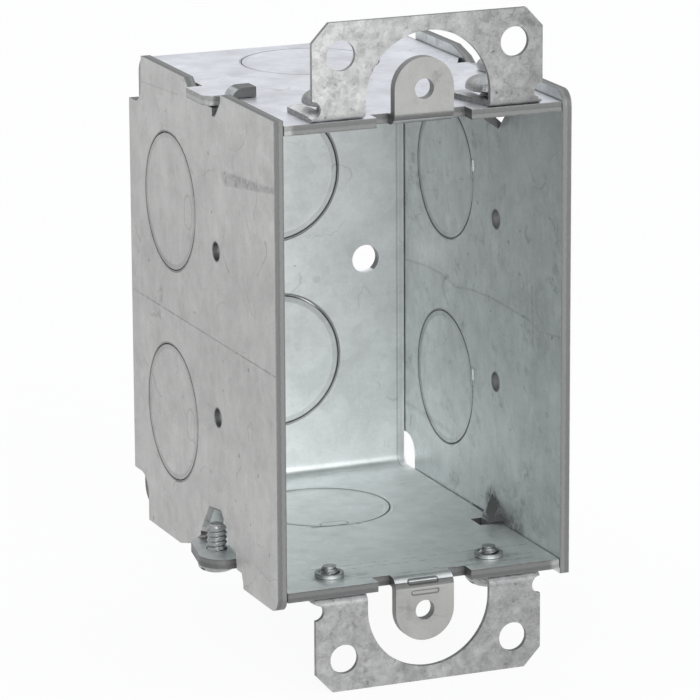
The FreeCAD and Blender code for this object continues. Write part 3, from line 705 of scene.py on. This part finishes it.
    rough = board.times(board.centred(zinc.outputs["Mottle"]), 0.1)
    rough = board.sum(board.blended(within, 0.4, 0.46), rough)
    on_lug = board.times(board.below(y, LUG_DEPTH), board.below(board.split(normal)[1], 0.3))
    ribs = board.times(marks(board, back_plane, lug_ribs), on_lug, 0.5)
    step = board.times(step, kept, board.blended(rear, 0.18, 0.08))
    groove = board.times(line, kept, GROOVE_DEPTH)
    height = relief(board, zinc, shear, cut, step, groove, ribs)
    finish(board, board.mixed(cut, base, edge), board.blended(cut, rough, CUT_ROUGHNESS), height)
    return material


def ear_material(name):
    """Dull, strongly mottled zinc of the plaster ears."""
    settings = bpy.context.scene.steel_finish
    material, board, place, normal = steel_board(name)
    base, zinc = coated(board, place, board.colour(settings.ear), 0.92, 0.8, 2.4)
    x, _, z = board.split(place)
    nx, _, nz = [board.size_of(part) for part in board.split(normal)]
    # painted light: the ears grow darker from left to right, the upper one more steeply, and the lower ear is
    # painted darker as a whole
    upper = board.above(z, 0.0)
    side_light = board.times(x, board.blended(upper, -0.004, -0.015), 1.0 / MM)
    level = board.times(board.sum(1.0, side_light), board.blended(upper, 0.87, 1.0))

    wear = board.group(shared("wear"), place=place, spacing=2.0 * MM, speck=0.3 * MM)
    stains = board.between(board.noise(place, 1.6 * MM, 5.0, 0.85), 0.5, 0.66)
    specks = board.times(wear.outputs["Specks"], 0.4)
    worn = board.sum(board.times(stains, 0.26), specks, board.times(wear.outputs["Hairs"], 0.2))

    # painted light on the level faces of the legs, and dark ragged rims of the upright plate
    leg = board.below(board.size_of(z), HALF_HEIGHT + 1.6 * MM)
    flat = board.times(board.between(nz, 0.6, 0.9, 0.0, 0.45), leg)
    rim = board.between(board.most(nx, board.times(nz, board.rest_of(leg))), 0.4, 0.7, 0.0, 0.45)
    rim = board.times(rim, board.between(board.noise(place, 1.2 * MM, 3.0, 0.7), 0.35, 0.5, 0.4, 1.0))
    level = board.times(level, board.sum(1.0, flat), board.minus(1.06, worn), board.rest_of(rim))

    uneven = board.times(board.centred(zinc.outputs["Mottle"]), 0.3)
    rough = board.sum(0.42, uneven, board.times(stains, 0.1))
    finish(board, board.scaled(base, level), rough, board.times(zinc.outputs["Height"], 0.07))
    return material


def screw_material(name):
    """Plating of the screws, a little uneven."""
    settings = bpy.context.scene.steel_finish
    material, board, place, _ = steel_board(name)
    base, zinc = coated(board, place, board.colour(settings.screw), 0.6, 0.7, 1.3)
    rough = board.sum(0.2, board.times(zinc.outputs["Grain"], 0.2))
    finish(board, base, rough, board.times(zinc.outputs["Height"], 0.12))
    return material


def dress(names, material):
    """Gives CAD nodes a material."""
    for name in names:
        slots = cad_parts[name].data.materials
        slots.clear()
        slots.append(material)


# slotted screws


def screw_tree():
    """A slotted machine screw: threaded shank, domed head and a driver slot."""
    inputs = [
        ("Shank Radius", "Float", 1.65 * MM),
        ("Shank Length", "Float", 6 * MM),
        ("Point Length", "Float", 1 * MM),
        ("Head Radius", "Float", 3.2 * MM),
        ("Head Height", "Float", 2.2 * MM),
        ("Rim Height", "Float", 0.6 * MM),
        ("Pitch", "Float", 0.8 * MM),
        ("Thread Depth", "Float", 0.28 * MM),
        ("Slot Width", "Float", 0.9 * MM),
        ("Slot Depth", "Float", 1.1 * MM),
        ("Seat", "Vector", None),
        ("Turn", "Vector", None),
        ("Finish", "Material", None),
    ]
    outputs = [("Geometry", "Geometry")]
    tree, board, given, result = new_group("Slotted screw", inputs, outputs, "GeometryNodeTree")

    def sheet_of(rows):
        size = {"Size X": 1.0, "Size Y": 1.0, "Vertices X": SCREW_SIDES + 1, "Vertices Y": rows + 1}
        grid = board.add("GeometryNodeMeshGrid", size)
        across, up, _ = board.split(board.add("GeometryNodeInputPosition").outputs[0])
        return grid.outputs[0], board.sum(across, 0.5), board.sum(up, 0.5)

    def turned(mesh, across, radius, height):
        angle = board.times(across, 2 * math.pi)
        aside = board.times(radius, board.math("COSINE", angle))
        ahead = board.times(radius, board.math("SINE", angle))
        place = board.joined(aside, ahead, height)
        moved = board.add("GeometryNodeSetPosition", {"Geometry": mesh, "Position": place})
        joint = {"Geometry": moved.outputs[0], "Distance": 0.002 * MM}
        return board.add("GeometryNodeMergeByDistance", joint).outputs[0]

    def ramp(value, length):
        return board.math("MULTIPLY", value, 1.0 / length, clamp=True)

    # shank, from its point up to a cap inside the head
    mesh, across, up = sheet_of(SHANK_ROWS)
    row = 1.0 / SHANK_ROWS
    inner = board.over(board.minus(up, row), 1.0 - 2 * row, clamp=True)
    bury = board.times(given["Head Height"], 0.3)
    height = board.times(inner, board.sum(given["Shank Length"], bury))
    height = board.minus(height, given["Shank Length"])
    cap = board.math("MINIMUM", ramp(up, row), ramp(board.rest_of(up), row))
    above_point = board.sum(height, given["Shank Length"])
    taper = board.between(above_point, 0.0, given["Point Length"], 0.72, 1.0)
    turns = board.minus(across, board.over(height, given["Pitch"]))
    phase = board.math("FRACT", board.sum(turns, 64.0))
    groove = board.times(board.size_of(board.centred(phase)), 2.2)
    groove = board.math("SMOOTH_MIN", groove, 1.0, 0.2)
    core = board.minus(given["Shank Radius"], board.times(groove, given["Thread Depth"]))
    shank = turned(mesh, across, board.times(core, taper, cap), height)

    # head, from its seat over the rim to the crown
    mesh, across, up = sheet_of(HEAD_ROWS)
    row = 1.0 / HEAD_ROWS
    cap = ramp(up, row)
    rim = ramp(board.minus(up, row), row)
    wall = ramp(board.minus(up, 2 * row), row)
    dome = board.over(board.minus(up, 3 * row), 1.0 - 3 * row, clamp=True)
    dome = board.times(dome, math.pi / 2)
    rim_low = board.times(given["Rim Height"], 0.35)
    height = board.times(wall, board.minus(given["Rim Height"], rim_low))
    height = board.sum(board.times(rim, rim_low), height)
    crown_height = board.minus(given["Head Height"], given["Rim Height"])
    height = board.sum(height, board.times(board.math("SINE", dome), crown_height))
    edge = board.sum(0.92, board.times(rim, 0.08))
    curve = board.math("POWER", board.math("COSINE", dome), 0.8)
    crown = turned(mesh, across, board.times(given["Head Radius"], cap, edge, curve), height)

    # driver slot
    long = board.times(given["Head Radius"], 3.0)
    deep = board.times(given["Slot Depth"], 2.0)
    blade = board.add("GeometryNodeMeshCube", {"Size": board.joined(long, given["Slot Width"], deep)})
    lift = {"Geometry": blade.outputs[0], "Translation": board.joined(0.0, 0.0, given["Head Height"])}
    lifted = board.add("GeometryNodeTransform", lift)
    slotted = board.add("GeometryNodeMeshBoolean", operation="DIFFERENCE", solver="EXACT")
    board.feed(slotted.inputs["Mesh 1"], crown)
    board.feed(slotted.inputs["Mesh 2"], lifted.outputs[0])

    both = board.add("GeometryNodeJoinGeometry")
    board.feed(both.inputs[0], shank)
    board.feed(both.inputs[0], slotted.outputs[0])
    seated = {"Geometry": both.outputs[0], "Rotation": given["Turn"], "Translation": given["Seat"]}
    turn = board.add("GeometryNodeTransform", seated)
    real = board.add("GeometryNodeRealizeInstances", {"Geometry": turn.outputs[0]})
    paint = {"Geometry": real.outputs[0], "Material": given["Finish"]}
    board.feed(result["Geometry"], board.add("GeometryNodeSetMaterial", paint).outputs[0])
    return tree


def baked(name, tree, values):
    """The tree's result as a plain mesh object."""
    holder = bpy.data.objects.new(name + "_tree", bpy.data.meshes.new(name + "_tree"))
    bpy.context.scene.collection.objects.link(holder)
    modifier = holder.modifiers.new("Shape", "NODES")
    modifier.node_group = tree
    items = [item for item in tree.interface.items_tree if item.in_out == "INPUT"]
    sockets = {item.name: item.identifier for item in items}
    for label, value in values.items():
        modifier[sockets[label]] = value
    bpy.context.view_layer.update()
    depsgraph = bpy.context.evaluated_depsgraph_get()
    mesh = bpy.data.meshes.new_from_object(holder.evaluated_get(depsgraph))
    bpy.data.objects.remove(holder)
    for polygon in mesh.polygons:
        polygon.use_smooth = True
    mesh.set_sharp_from_angle(angle=SHARP_ANGLE)
    piece = bpy.data.objects.new(name, mesh)
    bpy.context.scene.collection.objects.link(piece)
    return piece


def make_screw(tree, node, cut, turn, material):
    """One detailed screw in the place of its CAD node; turn is its slot's angle in degrees."""
    settings = bpy.context.scene.screw_sizes
    low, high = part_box(node)
    down = node in HEAD_DOWN
    middle = (low + high) / 2
    seat = low.z + cut.head_height if down else high.z - cut.head_height
    values = {
        "Shank Radius": cut.shank,
        "Shank Length": high.z - low.z - cut.head_height,
        "Point Length": cut.point,
        "Head Radius": cut.head,
        "Head Height": cut.head_height,
        "Rim Height": cut.head_height * cut.rim_share,
        "Pitch": settings.pitch,
        "Thread Depth": settings.thread_depth,
        "Slot Width": settings.slot_width,
        "Slot Depth": cut.head_height * SLOT_SHARE,
        "Seat": (middle.x, middle.y, seat),
        "Turn": (math.pi if down else 0.0, 0.0, math.radians(turn)),
        "Finish": material,
    }
    piece = baked(node + "_detail", tree, values)
    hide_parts(node)
    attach(piece, node)


# stage


def camera_matrix():
    """The camera's place and turn, from its angles round the box."""
    sine, cosine = math.sin(CAMERA_AROUND), math.cos(CAMERA_AROUND)
    flat, steep = math.cos(CAMERA_TILT), math.sin(CAMERA_TILT)
    back = Vector((sine * flat, -cosine * flat, steep))
    level = Vector((cosine, sine, 0.0))
    rise = back.cross(level)
    right = level * math.cos(CAMERA_ROLL) + rise * math.sin(CAMERA_ROLL)
    up = rise * math.cos(CAMERA_ROLL) - level * math.sin(CAMERA_ROLL)
    matrix = Matrix((right, up, back)).transposed().to_4x4()
    matrix.translation = (right * CAMERA_ASIDE + up * CAMERA_RISE + back * CAMERA_AWAY) * MM
    return matrix


def make_camera(lens):
    """The scene's camera, with its focal length in millimetres."""
    data = bpy.data.cameras.new("Camera")
    data.lens = lens
    data.sensor_width = 36.0
    data.clip_start = 0.01
    camera = bpy.data.objects.new("Camera", data)
    bpy.context.scene.collection.objects.link(camera)
    camera.matrix_world = camera_matrix()
    bpy.context.scene.camera = camera


def softbox(name, power, size, place):
    """A square area lamp that faces the box."""
    data = bpy.data.lights.new(name, "AREA")
    data.shape = "SQUARE"
    data.size = size
    data.energy = power
    lamp = bpy.data.objects.new(name, data)
    bpy.context.scene.collection.objects.link(lamp)
    lamp.location = place
    lamp.rotation_euler = (Vector(place) - Vector(LIGHT_TARGET)).to_track_quat("Z", "Y").to_euler()


def floor_material():
    """White floor: nearly white to the eye and in reflections, with a trace of the box's shadow."""
    material = bpy.data.materials.new("White floor")
    material.use_nodes = True
    material.node_tree.nodes.clear()
    board = Board(material.node_tree)
    path = board.add("ShaderNodeLightPath")
    rays = [path.outputs[kind] for kind in ("Is Glossy Ray", "Is Transmission Ray", "Is Camera Ray")]
    seen = board.most(*rays)
    matt = board.add("ShaderNodeBsdfDiffuse", {"Color": (0.82, 0.82, 0.83, 1.0)})
    glow = board.add("ShaderNodeEmission", {"Color": (1.0, 1.0, 1.0, 1.0), "Strength": 1.0})
    mix = board.add("ShaderNodeMixShader")
    board.feed(mix.inputs[0], board.times(seen, WHITE_SHARE))
    board.tree.links.new(matt.outputs[0], mix.inputs[1])
    board.tree.links.new(glow.outputs[0], mix.inputs[2])
    output = board.add("ShaderNodeOutputMaterial")
    board.tree.links.new(mix.outputs[0], output.inputs["Surface"])
    return material


def make_floor():
    """A wide floor under the lowest point of the box."""
    low, half = CAD_BOX[0][2], FLOOR_HALF
    corners = [(-half, -half, low), (half, -half, low), (half, half, low), (-half, half, low)]
    mesh = bpy.data.meshes.new("floor")
    mesh.from_pydata(corners, [], [(0, 1, 2, 3)])
    floor = bpy.data.objects.new("floor", mesh)
    bpy.context.scene.collection.objects.link(floor)
    mesh.materials.append(floor_material())


def make_room(horizon, sky):
    """Plain room light that changes from eye level to overhead."""
    world = bpy.data.worlds.new("Room")
    world.use_nodes = True
    world.node_tree.nodes.clear()
    board = Board(world.node_tree)
    upward = board.split(board.add("ShaderNodeTexCoord").outputs["Generated"])[2]
    strength = board.between(upward, 0.0, 0.9, horizon, sky)
    light = board.add("ShaderNodeBackground", {"Color": (0.96, 0.98, 1.0, 1.0), "Strength": strength})
    output = board.add("ShaderNodeOutputWorld")
    board.tree.links.new(light.outputs[0], output.inputs["Surface"])
    bpy.context.scene.world = world


# operators


class BOX_OT_body(bpy.types.Operator):
    """Finish the folded body in galvanised steel"""

    bl_idname = "electrical_box.body"
    bl_label = "Finish Body"

    def execute(self, context):
        back_corner_shade = []
        # painted shade: dark lines down the back wall near both back corners
        for side in (1.0, -1.0):
            fold, inner = 22.6 * side, 21.9 * side
            back_corner_shade.append(Mark((inner, 37.0), (inner, -37.0), 0.08, 0.15, 0.28))
            back_corner_shade.append(Mark((fold, 37.0), (fold, -37.0), 0.2, 0.3, 0.12))
        floor_marks = [
            Mark((-20.0, 8.6), (4.0, 8.0), 0.06, 0.25, 0.3),
            Mark((-17.5, 10.4), (22.0, 9.6), 0.05, 0.2, 0.35),
            Mark((-12.0, 3.2), (20.0, 2.6), 0.1, 0.4, 0.25),
            Mark((-18.0, 5.4), (-8.0, 5.0), 0.3, 0.9, 0.35),
            Mark((8.0, 5.4), (20.0, 5.2), 0.3, 0.9, 0.25),
            Mark((-6.0, 31.9), (2.0, 31.3), 0.2, 0.3, 0.5),
        ]
        floor_ties = [((-3.2, 32.6), (-0.6, 32.6), 1.1)]
        lug_ribs = [
            Mark((-2.4, -37.0), (2.0, -37.0), 0.2, 0.3, 1.0),
            Mark((-1.9, -38.7), (2.0, -38.7), 0.2, 0.3, 1.0),
        ]
        steel = body_material("Body steel", back_corner_shade, floor_marks, floor_ties, lug_ribs)
        dress(["box_body"], steel)
        return {"FINISHED"}


class BOX_OT_plates(bpy.types.Operator):
    """Finish both side plates, with their scribed lines, scratches and smears"""

    bl_idname = "electrical_box.plates"
    bl_label = "Finish Side Plates"

    def execute(self, context):
        # the left plate: scribed line, smear and scratches outside, a faint line inside
        left_out = [
            Mark((0.0, -1.3), (63.0, -1.3), 0.05, 0.12, 0.35),
            Mark((20.6, 25.7), (-1.2, 27.9), 0.9, 0.5, 0.27, 0.9),
            Mark((20.2, 25.2), (19.6, 27.0), 0.15, 0.4, 0.36),
            Mark((13.0, 22.9), (9.7, 18.1), 0.06, 0.15, 0.2),
            Mark((21.8, 13.1), (19.7, 11.3), 0.08, 0.2, 0.22),
            Mark((13.7, 11.8), (9.6, 6.3), 0.05, 0.12, 0.22),
            Mark((58.1, 34.4), (40.7, 35.3), 0.05, 0.15, 0.16),
        ]
        left_in = [Mark((0.0, 1.0), (63.0, 0.4), 0.05, 0.2, 0.2)]
        left_ties = [((37.0, 15.9), (37.0, 17.9), 1.7), ((37.0, -19.0), (37.0, -17.2), 1.7)]

        # the right plate: a wavy line, a short line and darker patches inside, painted shade round the dent
        # at the hook's root, and a scribed line outside
        front_half = ((34.2, 0.1), (27.0, 0.5), (20.8, 0.4), (11.6, 0.1), (8.6, -0.9), (0.4, -0.1))
        wavy = ((63.0, -0.9), (59.6, -0.5), (52.9, 0.1), (47.1, 0.1), (40.6, -0.8)) + front_half
        right_in = [Mark(start, end, 0.06, 0.3, 0.2) for start, end in zip(wavy, wavy[1:])]
        right_in += [
            Mark((10.9, 5.6), (10.4, -3.6), 0.15, 0.5, 0.2),
            Mark((7.0, 4.5), (7.0, -2.0), 2.0, 1.6, 0.12),
            Mark((61.9, -25.6), (43.0, -26.0), 0.2, 0.5, 0.14),
            # painted shade round the dent at the hook's root
            Mark((26.0, -33.6), (24.0, -36.0), 1.6, 1.6, 0.5),
            Mark((23.0, -35.6), (15.0, -35.4), 0.4, 1.6, 0.45),
        ]
        right_out = [Mark((0.0, 1.3), (63.0, 1.3), 0.05, 0.12, 0.35)]
        right_ties = [((34.0, 19.2), (34.0, 21.2), 0.8), ((34.0, -15.4), (34.0, -13.6), 0.8)]

        # painted highlights: small bright spots by the ties of the slugs inside
        glints = [
            Mark((33.8, 20.4), (33.8, 21.4), 0.3, 0.3, 1.0),
            Mark((33.8, -14.6), (33.8, -13.6), 0.3, 0.3, 1.0),
        ]
        left = plate_material("Left plate steel", -1, left_out, left_in, left_ties, glints)
        right = plate_material("Right plate steel", 1, right_out, right_in, right_ties, glints)
        dress(["left_side_plate"], left)
        dress(["right_side_plate"], right)
        return {"FINISHED"}


class BOX_OT_ears(bpy.types.Operator):
    """Finish the two plaster ears in dull zinc"""

    bl_idname = "electrical_box.ears"
    bl_label = "Finish Ears"

    def execute(self, context):
        dress(["upper_ear", "lower_ear"], ear_material("Ear steel"))
        return {"FINISHED"}


class BOX_OT_screws(bpy.types.Operator):
    """Build the slotted ear screws and clamp screws with their threads"""

    bl_idname = "electrical_box.screws"
    bl_label = "Build Screws"

    def execute(self, context):
        sizes = context.scene.screw_sizes
        material = screw_material("Screw plating")
        tree = screw_tree()
        ear = ScrewCut(sizes.ear_shank, sizes.ear_head, sizes.ear_head_height, sizes.ear_point, 0.2)
        clamp = ScrewCut(
            sizes.clamp_shank, sizes.clamp_head, sizes.clamp_head_height, sizes.clamp_point, 0.5
        )
        for node, turn in zip(EAR_SCREWS, (35.0, 100.0, 60.0, 15.0)):
            make_screw(tree, node, ear, turn, material)
        for node, turn in zip(CLAMP_SCREWS, (20.0, 75.0)):
            make_screw(tree, node, clamp, turn, material)
        return {"FINISHED"}


class BOX_OT_stage(bpy.types.Operator):
    """Set the floor, the soft light and the camera"""

    bl_idname = "electrical_box.stage"
    bl_label = "Set Stage"

    def execute(self, context):
        light = context.scene.studio_light
        make_floor()
        make_room(light.horizon, light.sky)
        softbox("Front softbox", light.front, light.front_size, (-0.15, -1.3, 0.38))
        softbox("Overhead softbox", light.overhead, light.overhead_size, (0.1, 0.5, 1.2))
        make_camera(light.lens)
        context.scene.view_settings.view_transform = "Standard"
        return {"FINISHED"}


class BOX_PT_panel(bpy.types.Panel):
    """Sizes, colours and steps of the electrical box"""

    bl_idname = "BOX_PT_panel"
    bl_label = "Steel Electrical Box"
    bl_space_type = "VIEW_3D"
    bl_region_type = "UI"
    bl_category = "Electrical Box"

    def draw(self, context):
        layout = self.layout
        for group in (context.scene.steel_finish, context.scene.screw_sizes, context.scene.studio_light):
            box = layout.box()
            for name in group.bl_rna.properties.keys():
                if name not in ("rna_type", "name"):
                    box.prop(group, name)
        for operator in OPERATORS:
            layout.operator(operator.bl_idname)


OPERATORS = (BOX_OT_body, BOX_OT_plates, BOX_OT_ears, BOX_OT_screws, BOX_OT_stage)
CLASSES = (SteelFinish, ScrewSizes, StudioLight) + OPERATORS + (BOX_PT_panel,)


def register():
    for kind in CLASSES:
        bpy.utils.register_class(kind)
    bpy.types.Scene.steel_finish = bpy.props.PointerProperty(type=SteelFinish)
    bpy.types.Scene.screw_sizes = bpy.props.PointerProperty(type=ScrewSizes)
    bpy.types.Scene.studio_light = bpy.props.PointerProperty(type=StudioLight)


def unregister():
    del bpy.types.Scene.studio_light
    del bpy.types.Scene.screw_sizes
    del bpy.types.Scene.steel_finish
    for kind in reversed(CLASSES):
        bpy.utils.unregister_class(kind)


def main():
    register()
    bpy.ops.electrical_box.body()
    bpy.ops.electrical_box.plates()
    bpy.ops.electrical_box.ears()
    bpy.ops.electrical_box.screws()
    bpy.ops.electrical_box.stage()


if __name__ == "__main__":
    main()
